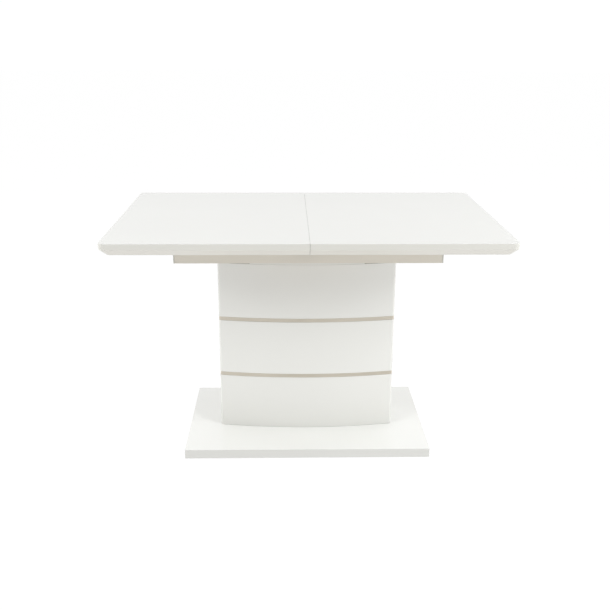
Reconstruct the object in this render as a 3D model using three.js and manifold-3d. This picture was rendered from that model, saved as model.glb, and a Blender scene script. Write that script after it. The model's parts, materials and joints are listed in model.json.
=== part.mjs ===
// Extendable dining table on a bowed pedestal.
// Two top halves slide apart over a fixed frame that stores a folded leaf.
// Millimetres, +Z up, +X along the table. The origin is on the floor, under the table's centre.

import * as THREE from 'three';
import { mergeVertices } from 'three/addons/utils/BufferGeometryUtils.js';
import Module from 'manifold-3d';

const wasm = await Module();
wasm.setup();

// ---------- driving dimensions ----------

const FIT_GAP = 0.3;               // between two pieces that touch

const TABLE_HEIGHT = 750;
const TOP_LENGTH = 1200;
const TOP_DEPTH = 800;
const TOP_THICKNESS = 38;
const TOP_CORNER_RADIUS = 20;
const RIM_HEIGHT = 18.5;           // upright band around the top, above the undercut
const UNDERCUT = 24;               // how far the underside steps in from the rim
const TOP_EASING = 1.2;            // small round along the upper edge
const SEAM_GAP = 0.4;
const HALF_TRAVEL = 200;           // each half moves this far, so a 400 mm leaf fits between them

const BASE_LENGTH = 792;
const BASE_DEPTH = 508;
const BASE_THICKNESS = 30;
const GLIDE_HEIGHT = 1.7;
const GLIDE_RADIUS = 18;
const GLIDE_INSET = 46;            // glide centre from the base's edges

const PEDESTAL_LENGTH = 582;
const PEDESTAL_SIDE_DEPTH = 124;   // across the flat ends
const BOW_RADIUS = 1500;           // of the front and rear faces
const PEDESTAL_CORNER = 10;
const PANEL_THICKNESS = 15;
const BAND_HEIGHT = 182.4;         // three equal bands
const STRIP_HEIGHT = 12;           // metal strip between two bands
const STRIP_THICKNESS = 2;
const STRIP_RECESS = 0.8;
const PEDESTAL_BOARD = 18;         // bottom and top boards inside the column

const RISER_LENGTH = 370;          // two beams between the pedestal and the frame
const RISER_INSET = 0.4;           // their bowed faces from the pedestal's
const RISER_CLEAR = 68;            // between the two beams

const FRAME_LENGTH = 810;
const FRAME_DEPTH = 534;
const FRAME_BOTTOM = 658;
const FRAME_TOP = 711;
const RAIL_THICKNESS = 18;
const TRAY_LENGTH = 346;
const TRAY_THICKNESS = 14.5;
const RUNNER_PASS_WIDTH = 52;      // notch in each end rail, where a runner passes over it
const RUNNER_PASS_FLOOR = 24;

const CHANNEL_LENGTH = 800;
const RUNNER_INNER_END = 20;       // from the seam, table closed
const RUNNER_OUTER_END = 395;

const LEAF_LENGTH = 400;           // the size of one folded half, along X and Y
const LEAF_THICKNESS = 16;

const LOCK_Y = 305;                // the two locks sit outside the frame
const LOCK_PIVOT_X = -18;
const LOCK_STUD_RADIUS = 32;       // keeper stud from the lever's pivot
const LOCK_RELEASED = 50;          // degrees from locked to released

const BOLT_RADIUS = 4;
const BOLT_HOLE_RADIUS = 4.3;
const BOLT_HEAD_RADIUS = 6.5;
const BOLT_HEAD_HEIGHT = 6;
const COUNTERBORE_RADIUS = 7.5;
const COUNTERBORE_DEPTH = 8;
const BASE_BOLT_X = 200;
const BASE_BOLT_Y = 24;
const BASE_BOLT_GRIP = 15;         // how far it reaches into the pedestal's bottom board
const FRAME_BOLT_X = 120;
const FRAME_BOLT_Y = 54;
const FRAME_BOLT_GRIP = 14;        // how far it reaches into the pedestal's top board

const DOWEL_RADIUS = 5;
const DOWEL_PLACES = [-300, 0, 300];

// ---------- derived places ----------

const TOP_UNDERSIDE = TABLE_HEIGHT - TOP_THICKNESS;
const BASE_BOTTOM = GLIDE_HEIGHT + FIT_GAP;
const BASE_TOP = BASE_BOTTOM + BASE_THICKNESS;
const BAND_PITCH = BAND_HEIGHT + STRIP_HEIGHT + 2 * FIT_GAP;
const COLUMN_BOTTOM = BASE_TOP + FIT_GAP;
const COLUMN_TOP = COLUMN_BOTTOM + 2 * BAND_PITCH + BAND_HEIGHT;
const RAIL_INNER = FRAME_DEPTH / 2 - RAIL_THICKNESS;
const TRAY_TOP = FRAME_BOTTOM + TRAY_THICKNESS;
const BOW_CENTRE = Math.sqrt(BOW_RADIUS ** 2 - (PEDESTAL_LENGTH / 2) ** 2) - PEDESTAL_SIDE_DEPTH / 2;
const CORNERS = [[-1, -1], [1, -1], [-1, 1], [1, 1]];
const LONG_SIDES = [['front', -1], ['rear', 1]];
const BASE_BOLTS = CORNERS.map(([sx, sy]) => [sx * BASE_BOLT_X, sy * BASE_BOLT_Y]);
const FRAME_BOLTS = CORNERS.map(([sx, sy]) => [sx * FRAME_BOLT_X, sy * FRAME_BOLT_Y]);

// ---------- materials ----------

const whiteGloss = { color: 0xf4f4f0, roughness: 0.12, metalness: 0 };
const whiteSatin = { color: 0xefece4, roughness: 0.4, metalness: 0 };
const rawBoard = { color: 0xc9b596, roughness: 0.8, metalness: 0 };
const beech = { color: 0xcfa877, roughness: 0.6, metalness: 0 };
const champagne = { color: 0xb9a98e, roughness: 0.35, metalness: 1 };
const steel = { color: 0xb4b6b8, roughness: 0.3, metalness: 1 };
const greyPlastic = { color: 0x4c4d4f, roughness: 0.6, metalness: 0 };

// ---------- building blocks ----------

const table = new THREE.Group();

function add(name, geometry, finish) {
  const mesh = new THREE.Mesh(geometry, new THREE.MeshStandardMaterial(finish));
  mesh.name = name;
  table.add(mesh);
}

// The same surface with its shared vertices merged, and nothing but positions.
function welded(geometry) {
  const bare = geometry.clone();
  bare.deleteAttribute('normal');
  bare.deleteAttribute('uv');
  return mergeVertices(bare, 1e-3);
}

function toSolid(geometry) {
  const merged = welded(geometry);
  const vertProperties = new Float32Array(merged.attributes.position.array);
  const triVerts = new Uint32Array(merged.index.array);
  return new wasm.Manifold(new wasm.Mesh({ numProp: 3, vertProperties, triVerts }));
}

function toGeometry(solid) {
  const { vertProperties, triVerts } = solid.getMesh();
  const geometry = new THREE.BufferGeometry();
  geometry.setAttribute('position', new THREE.BufferAttribute(vertProperties, 3));
  geometry.setIndex(new THREE.BufferAttribute(triVerts, 1));
  return geometry;
}

function joined(geometry, ...others) {
  return toGeometry(others.reduce((solid, other) => solid.add(toSolid(other)), toSolid(geometry)));
}

function cut(geometry, ...cutters) {
  return toGeometry(cutters.reduce((solid, cutter) => solid.subtract(toSolid(cutter)), toSolid(geometry)));
}

// Box between two opposite corners, given in either order.
function block(x0, x1, y0, y1, z0, z1) {
  const box = new THREE.BoxGeometry(Math.abs(x1 - x0), Math.abs(y1 - y0), Math.abs(z1 - z0));
  return box.translate((x0 + x1) / 2, (y0 + y1) / 2, (z0 + z1) / 2);
}

function post(x, y, z0, z1, radius, segments = 16) {
  const cylinder = new THREE.CylinderGeometry(radius, radius, z1 - z0, segments);
  return cylinder.rotateX(Math.PI / 2).translate(x, y, (z0 + z1) / 2);
}

function rodAlongX(x0, x1, y, z, radius) {
  const cylinder = new THREE.CylinderGeometry(radius, radius, x1 - x0, 16);
  return cylinder.rotateZ(Math.PI / 2).translate((x0 + x1) / 2, y, z);
}

function plate(shape, z0, z1, curveSegments = 12) {
  const options = { depth: z1 - z0, bevelEnabled: false, curveSegments };
  return new THREE.ExtrudeGeometry(shape, options).translate(0, 0, z0);
}

// Profile drawn in the Y-Z plane and run along X.
function runAlongX(points, x0, x1) {
  const shape = new THREE.Shape(points.map(([y, z]) => new THREE.Vector2(y, z)));
  const options = { depth: x1 - x0, bevelEnabled: false };
  const run = new THREE.ExtrudeGeometry(shape, options);
  return run.rotateX(Math.PI / 2).rotateZ(Math.PI / 2).translate(x0, 0, 0);
}

// Mirrored copy with its faces still pointing out. axis is 0 for X, 1 for Y.
function mirrored(geometry, axis) {
  const copy = welded(geometry);
  copy.scale(axis === 0 ? -1 : 1, axis === 1 ? -1 : 1, 1);
  const order = copy.index.array;
  for (let i = 0; i < order.length; i += 3) {
    [order[i], order[i + 1]] = [order[i + 1], order[i]];
  }
  return copy;
}

// Socket-head bolt hanging down from the origin, which is under its head.
function bolt(length) {
  const shank = post(0, 0, -length, 1, BOLT_RADIUS, 12);
  const head = post(0, 0, 0, BOLT_HEAD_HEIGHT, BOLT_HEAD_RADIUS, 12);
  const socket = post(0, 0, BOLT_HEAD_HEIGHT / 2, BOLT_HEAD_HEIGHT + 1, BOLT_RADIUS * 0.75, 6);
  return cut(joined(shank, head), socket);
}

function throughHoles(places, z0, z1, radius = BOLT_HOLE_RADIUS) {
  return places.map(([x, y]) => post(x, y, z0 - 1, z1 + 1, radius, 12));
}

// ---------- top halves ----------

// Outline of the right half, stepped in from its free edges. The seam edge stays where it is.
function halfOutline(inset) {
  const seam = SEAM_GAP / 2;
  const end = TOP_LENGTH / 2 - inset;
  const side = TOP_DEPTH / 2 - inset;
  const radius = Math.max(TOP_CORNER_RADIUS - inset / 2, 4);
  const shape = new THREE.Shape();
  shape.moveTo(seam, -side);
  shape.lineTo(end - radius, -side);
  shape.absarc(end - radius, radius - side, radius, -Math.PI / 2, 0, false);
  shape.lineTo(end, side - radius);
  shape.absarc(end - radius, side - radius, radius, 0, Math.PI / 2, false);
  shape.lineTo(seam, side);
  return shape.getPoints(7);
}

// Closed solid through stacked outlines that all have the same number of points.
function loft(levels) {
  const count = levels[0].outline.length;
  const positions = levels.flatMap(({ outline, z }) => outline.flatMap((point) => [point.x, point.y, z]));
  const triangles = [];
  for (let level = 0; level + 1 < levels.length; level += 1) {
    for (let i = 0; i < count; i += 1) {
      const a = level * count + i;
      const b = level * count + ((i + 1) % count);
      triangles.push(a, b, b + count, a, b + count, a + count);
    }
  }
  const last = (levels.length - 1) * count;
  for (const [a, b, c] of THREE.ShapeUtils.triangulateShape(levels[0].outline, [])) {
    triangles.push(a, c, b);
  }
  for (const [a, b, c] of THREE.ShapeUtils.triangulateShape(levels.at(-1).outline, [])) {
    triangles.push(last + a, last + b, last + c);
  }
  const geometry = new THREE.BufferGeometry();
  geometry.setAttribute('position', new THREE.Float32BufferAttribute(positions, 3));
  geometry.setIndex(triangles);
  return geometry;
}

// The rim is upright above and cut back below, with a softened lower edge.
function topHalf() {
  const rimBottom = TABLE_HEIGHT - RIM_HEIGHT;
  const profile = [
    [TOP_UNDERSIDE, UNDERCUT],
    [TOP_UNDERSIDE + 1.5, UNDERCUT - 3.5],
    [rimBottom, 0],
    [TABLE_HEIGHT - TOP_EASING, 0],
    [TABLE_HEIGHT - TOP_EASING * 0.3, TOP_EASING * 0.3],
    [TABLE_HEIGHT, TOP_EASING],
  ];
  return loft(profile.map(([z, inset]) => ({ z, outline: halfOutline(inset) })));
}

const DOWEL_Z = TABLE_HEIGHT - TOP_THICKNESS / 2;
const DOWEL_IN_LEFT = 30;
const DOWEL_IN_RIGHT = 13.5;

function dowelHoles(x0, x1) {
  return DOWEL_PLACES.map((y) => rodAlongX(x0, x1, y, DOWEL_Z, DOWEL_RADIUS + FIT_GAP));
}

function addTopHalves() {
  const half = topHalf();
  add('top_half_right', cut(half, ...dowelHoles(-5, DOWEL_IN_RIGHT + 2)), whiteGloss);
  add('top_half_left', cut(mirrored(half, 0), ...dowelHoles(-DOWEL_IN_LEFT - 0.5, 5)), whiteGloss);
  DOWEL_PLACES.forEach((y, i) => {
    const dowel = rodAlongX(-DOWEL_IN_LEFT, DOWEL_IN_RIGHT, y, DOWEL_Z, DOWEL_RADIUS);
    add(`seam_dowel_${i + 1}`, dowel, beech);
  });
}

// ---------- base ----------

function addBase() {
  const seat = BASE_BOTTOM + COUNTERBORE_DEPTH;
  const shanks = throughHoles(BASE_BOLTS, BASE_BOTTOM, BASE_TOP);
  const heads = throughHoles(BASE_BOLTS, BASE_BOTTOM, seat - 1, COUNTERBORE_RADIUS);
  const x = BASE_LENGTH / 2;
  const y = BASE_DEPTH / 2;
  add('base_plate', cut(block(-x, x, -y, y, BASE_BOTTOM, BASE_TOP), ...shanks, ...heads), whiteGloss);
  CORNERS.forEach(([sx, sy], i) => {
    const glide = new THREE.CylinderGeometry(GLIDE_RADIUS, GLIDE_RADIUS - 0.8, GLIDE_HEIGHT, 24);
    glide.rotateX(Math.PI / 2);
    glide.translate(sx * (x - GLIDE_INSET), sy * (y - GLIDE_INSET), GLIDE_HEIGHT / 2);
    add(`floor_glide_${i + 1}`, glide, greyPlastic);
  });
  BASE_BOLTS.forEach(([bx, by], i) => {
    const underHead = seat - FIT_GAP;
    const upward = bolt(COLUMN_BOTTOM + BASE_BOLT_GRIP - underHead).rotateX(Math.PI);
    add(`base_bolt_${i + 1}`, upward.translate(bx, by, underHead), steel);
  });
}

// ---------- pedestal ----------

function arcAngle(radius, x) {
  return Math.asin(x / radius);
}

// One bowed panel, seen from above, with rounded outer corners. It faces -Y.
function bowedPanelShape() {
  const half = PEDESTAL_LENGTH / 2;
  const outer = arcAngle(BOW_RADIUS, half - PEDESTAL_CORNER);
  const innerRadius = BOW_RADIUS - PANEL_THICKNESS;
  const inner = arcAngle(innerRadius, half);
  const innerEnd = BOW_CENTRE - innerRadius * Math.cos(inner);
  const cornerStart = PEDESTAL_CORNER - PEDESTAL_SIDE_DEPTH / 2;
  const arcEnd = BOW_CENTRE - BOW_RADIUS * Math.cos(outer);
  const down = -Math.PI / 2;
  const shape = new THREE.Shape();
  shape.moveTo(-half, innerEnd);
  shape.lineTo(-half, cornerStart);
  shape.quadraticCurveTo(-half, -PEDESTAL_SIDE_DEPTH / 2, PEDESTAL_CORNER - half, arcEnd);
  shape.absarc(0, BOW_CENTRE, BOW_RADIUS, down - outer, down + outer, false);
  shape.quadraticCurveTo(half, -PEDESTAL_SIDE_DEPTH / 2, half, cornerStart);
  shape.lineTo(half, innerEnd);
  shape.absarc(0, BOW_CENTRE, innerRadius, down + inner, down - inner, true);
  return shape;
}

// The column's whole outline from above, stepped in by inset.
function columnPath(path, inset) {
  const half = PEDESTAL_LENGTH / 2 - inset;
  const side = PEDESTAL_SIDE_DEPTH / 2 - inset;
  const corner = Math.max(PEDESTAL_CORNER - inset, 2);
  const radius = BOW_RADIUS - inset;
  const outer = arcAngle(radius, half - corner);
  const arcEnd = BOW_CENTRE - radius * Math.cos(outer);
  const down = -Math.PI / 2;
  path.moveTo(-half, side - corner);
  path.lineTo(-half, corner - side);
  path.quadraticCurveTo(-half, -side, corner - half, arcEnd);
  path.absarc(0, BOW_CENTRE, radius, down - outer, down + outer, false);
  path.quadraticCurveTo(half, -side, half, corner - side);
  path.lineTo(half, side - corner);
  path.quadraticCurveTo(half, side, half - corner, -arcEnd);
  path.absarc(0, -BOW_CENTRE, radius, -down - outer, -down + outer, false);
  path.quadraticCurveTo(-half, side, -half, side - corner);
  return path;
}

function addBand(name, z0) {
  const z1 = z0 + BAND_HEIGHT;
  const front = plate(bowedPanelShape(), z0, z1, 12);
  add(`pedestal_${name}_front_panel`, front, whiteGloss);
  add(`pedestal_${name}_rear_panel`, mirrored(front, 1), whiteGloss);
  const outer = PEDESTAL_LENGTH / 2;
  const y = PEDESTAL_SIDE_DEPTH / 2 - PANEL_THICKNESS - 2 * FIT_GAP;
  const side = block(outer - PANEL_THICKNESS, outer, -y, y, z0, z1);
  add(`pedestal_${name}_right_panel`, side, whiteGloss);
  add(`pedestal_${name}_left_panel`, mirrored(side, 0), whiteGloss);
}

function addStrip(name, z0) {
  const z1 = z0 + STRIP_HEIGHT;
  const ring = columnPath(new THREE.Shape(), STRIP_RECESS);
  ring.holes.push(columnPath(new THREE.Path(), STRIP_RECESS + STRIP_THICKNESS));
  add(`pedestal_${name}_strip`, plate(ring, z0, z1, 8), champagne);
  const divider = columnPath(new THREE.Shape(), STRIP_RECESS + STRIP_THICKNESS + FIT_GAP);
  add(`pedestal_${name}_divider`, plate(divider, z0, z1, 8), rawBoard);
}

function addPedestal() {
  ['lower', 'middle', 'upper'].forEach((name, i) => addBand(name, COLUMN_BOTTOM + i * BAND_PITCH));
  ['lower', 'upper'].forEach((name, i) => {
    addStrip(name, COLUMN_BOTTOM + BAND_HEIGHT + FIT_GAP + i * BAND_PITCH);
  });
  const inside = columnPath(new THREE.Shape(), PANEL_THICKNESS + 4 * FIT_GAP);
  const bottomTop = COLUMN_BOTTOM + PEDESTAL_BOARD;
  const bottomBoard = plate(inside, COLUMN_BOTTOM, bottomTop, 8);
  const bottomHoles = throughHoles(BASE_BOLTS, COLUMN_BOTTOM, bottomTop);
  add('pedestal_bottom_board', cut(bottomBoard, ...bottomHoles), rawBoard);
  const topBottom = COLUMN_TOP - PEDESTAL_BOARD;
  const topBoard = plate(inside, topBottom, COLUMN_TOP, 8);
  const topHoles = throughHoles(FRAME_BOLTS, topBottom, COLUMN_TOP);
  add('pedestal_top_board', cut(topBoard, ...topHoles), whiteSatin);
}

// ---------- riser and frame ----------

// Beam seen from above: bowed like the pedestal in front, straight behind.
function riserShape() {
  const half = RISER_LENGTH / 2;
  const radius = BOW_RADIUS - RISER_INSET;
  const turn = arcAngle(radius, half);
  const down = -Math.PI / 2;
  const shape = new THREE.Shape();
  shape.absarc(0, BOW_CENTRE, radius, down - turn, down + turn, false);
  shape.lineTo(half, -RISER_CLEAR / 2);
  shape.lineTo(-half, -RISER_CLEAR / 2);
  return shape;
}

function addRiser() {
  const z0 = COLUMN_TOP + FIT_GAP;
  const z1 = FRAME_BOTTOM - FIT_GAP;
  const holes = throughHoles(FRAME_BOLTS, z0, z1);
  const front = plate(riserShape(), z0, z1, 10);
  add('riser_front_beam', cut(front, ...holes), whiteGloss);
  add('riser_rear_beam', cut(mirrored(front, 1), ...holes), whiteGloss);
}

function addFrame() {
  const x = FRAME_LENGTH / 2;
  const y = FRAME_DEPTH / 2;
  for (const [name, sign] of LONG_SIDES) {
    const rail = block(-x, x, sign * RAIL_INNER, sign * y, FRAME_BOTTOM, FRAME_TOP);
    add(`frame_${name}_rail`, rail, whiteSatin);
  }
  // The end rails are cut down where the runners pass over them.
  const endY = RAIL_INNER - FIT_GAP;
  const passY = RAIL_INNER - RUNNER_PASS_WIDTH;
  const passZ = FRAME_BOTTOM + RUNNER_PASS_FLOOR;
  const endProfile = [
    [-endY, FRAME_BOTTOM], [endY, FRAME_BOTTOM], [endY, passZ], [passY, passZ],
    [passY, FRAME_TOP], [-passY, FRAME_TOP], [-passY, passZ], [-endY, passZ],
  ];
  const right = runAlongX(endProfile, x - RAIL_THICKNESS, x);
  add('frame_right_end_rail', right, whiteSatin);
  add('frame_left_end_rail', mirrored(right, 0), whiteSatin);

  const trayX = TRAY_LENGTH / 2;
  const tray = block(-trayX, trayX, -endY, endY, FRAME_BOTTOM, TRAY_TOP);
  const seat = TRAY_TOP - COUNTERBORE_DEPTH;
  const shanks = throughHoles(FRAME_BOLTS, FRAME_BOTTOM, TRAY_TOP);
  const heads = throughHoles(FRAME_BOLTS, seat + 1, TRAY_TOP, COUNTERBORE_RADIUS);
  add('frame_tray', cut(tray, ...shanks, ...heads), whiteSatin);
  FRAME_BOLTS.forEach(([bx, by], i) => {
    const underHead = seat + FIT_GAP;
    const downward = bolt(underHead - COLUMN_TOP + FRAME_BOLT_GRIP);
    add(`frame_bolt_${i + 1}`, downward.translate(bx, by, underHead), steel);
  });
}

// ---------- slides ----------

// Heights and depths are shared by the channel and the runner that it holds.
// Depths are measured from the inner face of the frame's long rail, towards the centre.
const CHANNEL = { bottom: 684, top: 709, wall: 1.5, depth: 14, lip: 4 };
const SLIDE_PLAY = 0.7;
const RUNNER_WALL = 3;
const RUNNER_FLANGE = 26;
const STOP_LENGTH = 12;
const STOP_BOTTOM = 676;

function channelProfile() {
  const { bottom, top, wall, depth, lip } = CHANNEL;
  return [
    [0, bottom], [depth, bottom], [depth, bottom + wall + lip], [depth - wall, bottom + wall + lip],
    [depth - wall, bottom + wall], [wall, bottom + wall], [wall, top - wall], [depth - wall, top - wall],
    [depth - wall, top - wall - lip], [depth, top - wall - lip], [depth, top], [0, top],
  ];
}

function runnerProfile() {
  const { bottom, top, wall, depth, lip } = CHANNEL;
  const low = bottom + wall + SLIDE_PLAY;
  const high = top - wall - SLIDE_PLAY;
  const barInner = wall + SLIDE_PLAY;
  const barOuter = depth - wall - SLIDE_PLAY;
  const neck = depth + SLIDE_PLAY;
  const fixing = TOP_UNDERSIDE - FIT_GAP;
  return [
    [barInner, low], [barOuter, low], [barOuter, low + lip], [neck, low + lip], [neck, low],
    [neck + RUNNER_WALL, low], [neck + RUNNER_WALL, fixing - RUNNER_WALL],
    [neck + RUNNER_WALL + RUNNER_FLANGE, fixing - RUNNER_WALL], [neck + RUNNER_WALL + RUNNER_FLANGE, fixing],
    [neck, fixing], [neck, high - lip], [barOuter, high - lip], [barOuter, high], [barInner, high],
  ];
}

// Depth from a long rail turned into Y. sign is -1 for the front rail, 1 for the rear.
function fromRail(profile, sign) {
  const placed = profile.map(([depth, z]) => [sign * (RAIL_INNER - FIT_GAP - depth), z]);
  return sign < 0 ? placed : placed.reverse();
}

function addSlides() {
  const x = CHANNEL_LENGTH / 2;
  for (const [name, sign] of LONG_SIDES) {
    add(`slide_channel_${name}`, runAlongX(fromRail(channelProfile(), sign), -x, x), steel);
    const bar = runAlongX(fromRail(runnerProfile(), sign), RUNNER_INNER_END, RUNNER_OUTER_END);
    // The stop meets the end rail's inner face when the half is fully out.
    const stopEnd = FRAME_LENGTH / 2 - RAIL_THICKNESS - HALF_TRAVEL - FIT_GAP;
    const stopOuter = RAIL_INNER - FIT_GAP - CHANNEL.depth - SLIDE_PLAY;
    const stopY = [sign * stopOuter, sign * (stopOuter - RUNNER_WALL)];
    const stop = block(stopEnd - STOP_LENGTH, stopEnd, ...stopY, STOP_BOTTOM, CHANNEL.bottom + 10);
    const runner = joined(bar, stop);
    add(`runner_right_${name}`, runner, steel);
    add(`runner_left_${name}`, mirrored(runner, 0), steel);
  }
}

// ---------- stored leaf ----------

const HINGE_X = 130;
const HINGE_HALF_LENGTH = 20;
const HINGE_DEPTH = 15;
const HINGE_HALF_HEIGHT = 10;
const HINGE_BARREL = 5;

function hingeBody(x, foldZ, growth) {
  const y = -LEAF_LENGTH / 2;
  const half = HINGE_HALF_LENGTH + growth;
  const height = HINGE_HALF_HEIGHT + growth;
  return block(x - half, x + half, y - growth, y + HINGE_DEPTH + growth, foldZ - height, foldZ + height);
}

// Two halves folded face to face on the tray. The fold is along the front edge.
function addLeaf() {
  const half = LEAF_LENGTH / 2;
  const lowerBottom = TRAY_TOP + FIT_GAP;
  const foldZ = lowerBottom + LEAF_THICKNESS + FIT_GAP / 2;
  const mortises = [-HINGE_X, HINGE_X].map((x) => hingeBody(x, foldZ, FIT_GAP));
  const lower = block(-half, half, -half, half, lowerBottom, lowerBottom + LEAF_THICKNESS);
  const upper = lower.clone().translate(0, 0, LEAF_THICKNESS + FIT_GAP);
  add('leaf_lower_half', cut(lower, ...mortises), whiteGloss);
  add('leaf_upper_half', cut(upper, ...mortises), whiteGloss);
  for (const [name, x] of [['left', -HINGE_X], ['right', HINGE_X]]) {
    const barrel = rodAlongX(x - HINGE_HALF_LENGTH, x + HINGE_HALF_LENGTH, -half, foldZ, HINGE_BARREL);
    add(`leaf_hinge_${name}`, joined(hingeBody(x, foldZ, 0), barrel), steel);
  }
}

// ---------- seam locks ----------

const LOCK_PLATE_THICKNESS = 2;
const LOCK_PLATE_HALF = 17;
const LEVER_BOTTOM = 704;
const LEVER_TOP = 709;
const LEVER_CLEARANCE = 0.4;       // around the pivot and the keeper's stud
const HUB_RADIUS = 9;
const HOOK_RADIUS = 41;
const HOOK_SPAN = [-25, 11];       // degrees around the pivot, locked position at 0
const SLOT_SPAN = [-8, 15];
const HANDLE_LENGTH = 30;
const HANDLE_HALF_WIDTH = 6;
const STUD_RADIUS = 3;
const PIVOT_RADIUS = 4;
const PIVOT_HEAD_RADIUS = 6.5;

function radians(angle) {
  return angle * Math.PI / 180;
}

// Flat sector around the lever's pivot, between two radii and two angles.
function sector(inner, outer, [from, to]) {
  const shape = new THREE.Shape();
  shape.absarc(0, 0, outer, radians(from), radians(to), false);
  shape.absarc(0, 0, inner, radians(to), radians(from), true);
  return shape;
}

function handleShape() {
  const shape = new THREE.Shape();
  shape.moveTo(0, HANDLE_HALF_WIDTH);
  shape.lineTo(-HANDLE_LENGTH, HANDLE_HALF_WIDTH);
  shape.absarc(-HANDLE_LENGTH, 0, HANDLE_HALF_WIDTH, Math.PI / 2, 3 * Math.PI / 2, false);
  shape.lineTo(0, -HANDLE_HALF_WIDTH);
  return shape;
}

// Hooked lever with its pivot at the origin, locked position: the hook points along +X.
function lever() {
  const arm = plate(sector(PIVOT_RADIUS, HOOK_RADIUS, HOOK_SPAN), LEVER_BOTTOM, LEVER_TOP, 6);
  const hub = post(0, 0, LEVER_BOTTOM, LEVER_TOP, HUB_RADIUS, 20);
  const handle = plate(handleShape(), LEVER_BOTTOM, LEVER_TOP, 6);
  const slotHalf = STUD_RADIUS + LEVER_CLEARANCE;
  const slotShape = sector(LOCK_STUD_RADIUS - slotHalf, LOCK_STUD_RADIUS + slotHalf, SLOT_SPAN);
  const slot = plate(slotShape, LEVER_BOTTOM - 1, LEVER_TOP + 1, 6);
  const hole = post(0, 0, LEVER_BOTTOM - 1, LEVER_TOP + 1, PIVOT_RADIUS + LEVER_CLEARANCE);
  return cut(joined(arm, hub, handle), slot, hole);
}

// Plate under a top half, from x0 to x1, at the front lock.
function lockPlate(x0, x1) {
  const plateTop = TOP_UNDERSIDE - FIT_GAP;
  const y = -LOCK_Y;
  return block(x0, x1, y - LOCK_PLATE_HALF, y + LOCK_PLATE_HALF, plateTop - LOCK_PLATE_THICKNESS, plateTop);
}

function addLocks() {
  const pinTop = TOP_UNDERSIDE - LOCK_PLATE_THICKNESS / 2;
  const headTop = LEVER_BOTTOM - LEVER_CLEARANCE;
  const keeperX = LOCK_PIVOT_X + LOCK_STUD_RADIUS;
  const pivot = joined(
    lockPlate(LOCK_PIVOT_X - LOCK_PLATE_HALF, LOCK_PIVOT_X + LOCK_PLATE_HALF),
    post(LOCK_PIVOT_X, -LOCK_Y, headTop - 1, pinTop, PIVOT_RADIUS),
    post(LOCK_PIVOT_X, -LOCK_Y, headTop - 2.5, headTop, PIVOT_HEAD_RADIUS),
  );
  const keeper = joined(
    lockPlate(keeperX - 10, keeperX + LOCK_PLATE_HALF),
    post(keeperX, -LOCK_Y, LEVER_BOTTOM - 1.5, pinTop, STUD_RADIUS),
  );
  const released = lever().rotateZ(-radians(LOCK_RELEASED)).translate(LOCK_PIVOT_X, -LOCK_Y, 0);
  const pieces = { lock_pivot: pivot, lock_keeper: keeper, lock_lever: released };
  for (const [name, geometry] of Object.entries(pieces)) {
    add(`front_${name}`, geometry, steel);
    add(`rear_${name}`, mirrored(geometry, 1), steel);
  }
}

// ---------- assembly ----------

addBase();
addPedestal();
addRiser();
addFrame();
addSlides();
addLeaf();
addTopHalves();
addLocks();

export default table;
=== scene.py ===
"""Extendable dining table: gloss top halves over a bowed, banded pedestal. Blender 4.5, metres, +Z up.

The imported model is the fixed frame. This script gives it its looks: finer pieces where the frame is
faceted, small hardware that carries no motion, procedural materials, light, floor and camera.
"""

import json
import math

import bmesh
import bpy
from mathutils import Matrix, Vector
from mathutils.geometry import tessellate_polygon


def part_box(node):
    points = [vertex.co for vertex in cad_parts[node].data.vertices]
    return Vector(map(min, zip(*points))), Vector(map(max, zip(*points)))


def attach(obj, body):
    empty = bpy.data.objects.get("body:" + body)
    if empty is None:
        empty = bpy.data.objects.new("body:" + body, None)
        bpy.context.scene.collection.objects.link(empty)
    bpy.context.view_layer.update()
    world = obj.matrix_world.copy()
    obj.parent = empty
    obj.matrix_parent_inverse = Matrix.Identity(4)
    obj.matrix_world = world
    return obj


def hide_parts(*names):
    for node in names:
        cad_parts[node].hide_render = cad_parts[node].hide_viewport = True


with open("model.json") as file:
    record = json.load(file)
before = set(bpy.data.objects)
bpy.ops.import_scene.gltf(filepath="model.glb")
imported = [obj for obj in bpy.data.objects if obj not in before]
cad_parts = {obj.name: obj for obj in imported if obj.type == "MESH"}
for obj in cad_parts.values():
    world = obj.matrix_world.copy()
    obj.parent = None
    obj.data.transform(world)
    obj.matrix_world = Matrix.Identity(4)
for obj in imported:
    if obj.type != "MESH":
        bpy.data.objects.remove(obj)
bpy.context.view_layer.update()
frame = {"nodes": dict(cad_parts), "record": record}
nodes = frame["nodes"]

MM = 0.001


# ---------- camera ----------

FOCAL_LENGTH = 50.8
CAMERA_PLACE = (-0.0692, -2.7609, 1.3277)
CAMERA_YAW = -1.34
CAMERA_PITCH = -17.80
CAMERA_ROLL = 0.25


def make_camera():
    """Seen from just left of the middle, a little above the top."""
    data = bpy.data.cameras.new("camera")
    data.sensor_width = 36
    data.lens = FOCAL_LENGTH
    data.clip_end = 50
    camera = bpy.data.objects.new("camera", data)
    yaw = Matrix.Rotation(math.radians(CAMERA_YAW), 4, "Z")
    tilt = Matrix.Rotation(math.radians(90 + CAMERA_PITCH), 4, "X")
    roll = Matrix.Rotation(math.radians(CAMERA_ROLL), 4, "Z")
    camera.matrix_world = Matrix.Translation(CAMERA_PLACE) @ yaw @ tilt @ roll
    bpy.context.scene.collection.objects.link(camera)
    bpy.context.scene.camera = camera


make_camera()


# ---------- materials ----------

# A Mix node has sockets for every data type. These are the ones that carry colour.
MIX_COLOUR_SOCKETS = (0, 6, 7)
MIX_COLOUR_RESULT = 2


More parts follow.
